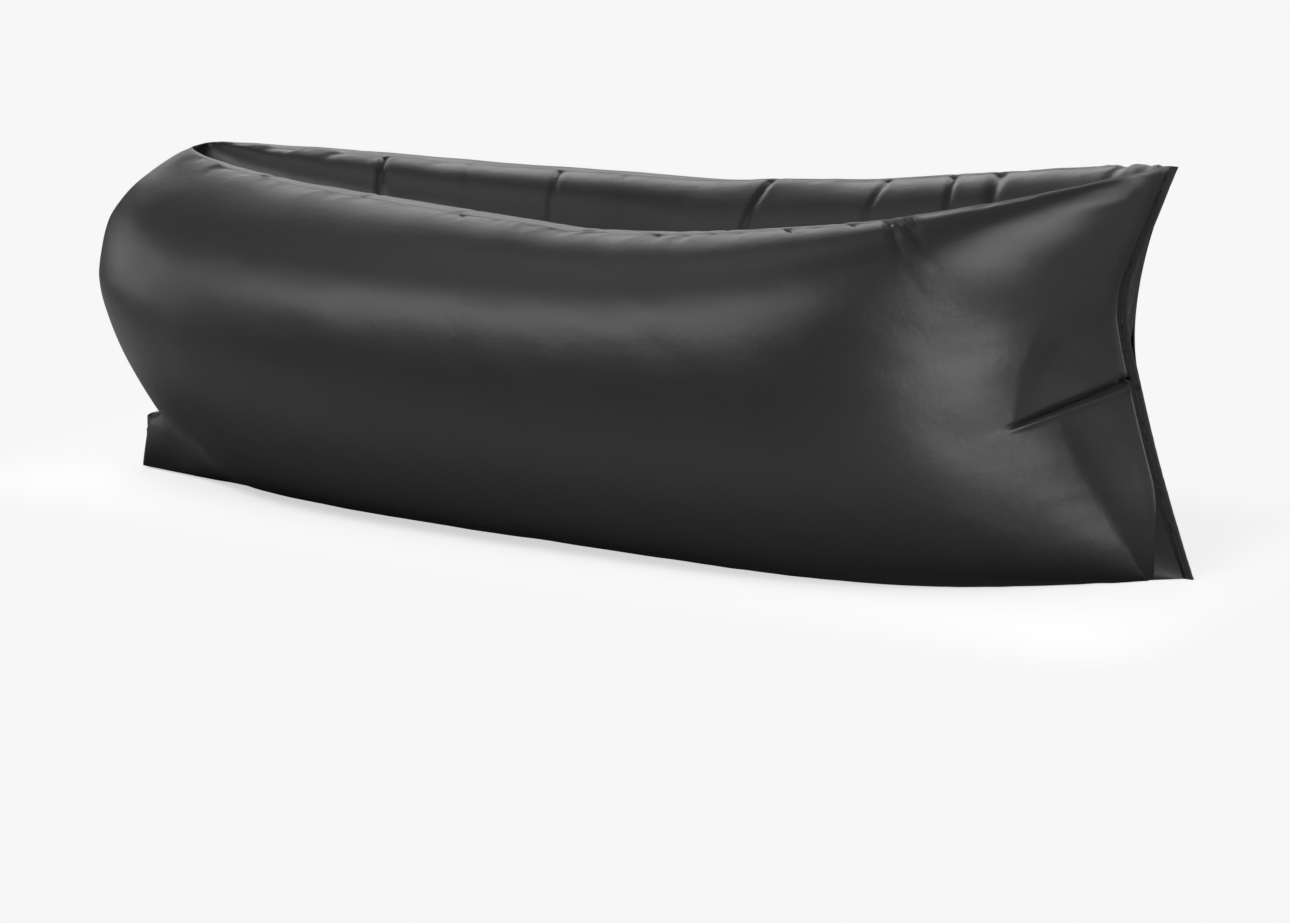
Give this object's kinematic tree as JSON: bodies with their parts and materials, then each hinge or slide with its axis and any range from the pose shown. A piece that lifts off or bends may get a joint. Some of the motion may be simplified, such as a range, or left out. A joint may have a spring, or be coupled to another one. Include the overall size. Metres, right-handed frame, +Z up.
{
  "type": "inflatable air lounger",
  "caption": "Free-standing inflatable lounger: two joined air-filled fabric tubes with a body trough between them, a drawn-in sewn end and a rolled, buckled mouth.",
  "frame": {"origin": "on the floor, under the middle of the lounger's bounding box", "axes": "+X from the rolled mouth to the sewn end, +Y from the near tube to the far one, +Z up"},
  "size_m": [2.044, 0.9736, 0.6756],
  "materials": {
    "fabric": "coated ripstop, satin sheen",
    "film": "thin air film, milky",
    "binding": "woven tape",
    "stiffener": "flat sheet strip",
    "webbing": "woven webbing",
    "plastic": "moulded, fine texture"
  },
  "bodies": {
    "lounger": {"near_outer_panel": "fabric", "near_inner_panel": "fabric", "near_bladder": "film", "far_outer_panel": "fabric", "far_inner_panel": "fabric", "far_bladder": "film", "end_binding": "binding", "rolled_mouth": "fabric", "mouth_neck": "fabric", "mouth_stiffener_back": "stiffener", "mouth_stiffener_front": "stiffener", "webbing_near": "webbing", "webbing_far": "webbing", "buckle_male": "plastic", "buckle_female": "plastic"},
    "prong_lower": {"buckle_prong_lower": "plastic"},
    "prong_upper": {"buckle_prong_upper": "plastic"}
  },
  "joints": [
    {"name": "prong_upper_squeeze", "type": "hinge", "parent": "lounger", "child": "prong_upper", "pos_m": [-0.907, -0.00925, 0.0581], "axis": [1, 0, 0], "range_deg": [-13, 0], "stiffness_Nm_per_rad": 0.9},
    {"name": "prong_lower_squeeze", "type": "hinge", "parent": "lounger", "child": "prong_lower", "pos_m": [-0.907, -0.00925, 0.0389], "axis": [1, 0, 0], "range_deg": [0, 13], "stiffness_Nm_per_rad": 0.9}
  ]
}
